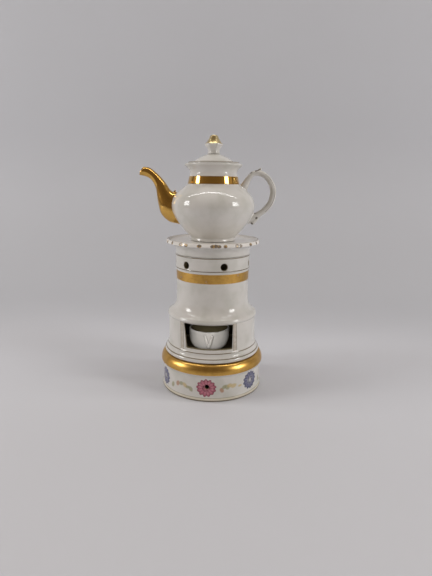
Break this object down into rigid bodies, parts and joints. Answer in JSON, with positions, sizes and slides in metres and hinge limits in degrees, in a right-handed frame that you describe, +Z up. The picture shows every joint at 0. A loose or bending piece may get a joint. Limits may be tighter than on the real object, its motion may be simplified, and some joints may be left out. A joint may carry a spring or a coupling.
{
  "type": "teapot on a lamp stand",
  "caption": "Small glazed porcelain teapot with gilt spout, on a pedestal lamp stand with an open window, oil cup and floating wick, over a round flowered plinth.",
  "frame": {"origin": "centre of the plinth's flat underside, on the axis of the stand", "axes": "+Z up; the lamp window faces -Y; the spout points along -X and the handle along +X"},
  "size_m": [0.1281, 0.1012, 0.2398],
  "materials": {
    "painted_porcelain": "clear glossy glaze over hand-painted flowers, with a gilt moulding",
    "gilt_lined_porcelain": "clear glossy glaze with gilt bands and lines",
    "white_porcelain": "clear glossy glaze",
    "gilt_porcelain": "burnished gilding over glaze",
    "cork": "bare cork",
    "tinplate": "thin tinned sheet",
    "cotton_wick": "waxed cotton"
  },
  "bodies": {
    "base": {"base_plinth": "painted_porcelain"},
    "stand": {"stand_body": "gilt_lined_porcelain", "stand_dish": "gilt_lined_porcelain"},
    "godet": {"godet_cup": "white_porcelain", "godet_handle": "white_porcelain"},
    "wick_float": {"wick_float": "cork", "wick_plate": "tinplate", "wick": "cotton_wick"},
    "pot": {"pot_body": "gilt_lined_porcelain", "spout": "gilt_porcelain", "handle": "gilt_lined_porcelain"},
    "lid": {"lid": "gilt_lined_porcelain", "lid_knob": "gilt_porcelain"}
  },
  "joints": [
    {"name": "stand_lift", "type": "slide", "parent": "base", "child": "stand", "axis": [0, 0, 1], "range_m": [0, 0.03]},
    {"name": "godet_lift", "type": "slide", "parent": "base", "child": "godet", "axis": [0, 0, 1], "range_m": [0, 0.03]},
    {"name": "float_lift", "type": "slide", "parent": "godet", "child": "wick_float", "axis": [0, 0, 1], "range_m": [0, 0.025]},
    {"name": "pot_lift", "type": "slide", "parent": "stand", "child": "pot", "axis": [0, 0, 1], "range_m": [0, 0.02]},
    {"name": "lid_lift", "type": "slide", "parent": "pot", "child": "lid", "axis": [0, 0, 1], "range_m": [0, 0.02]}
  ]
}
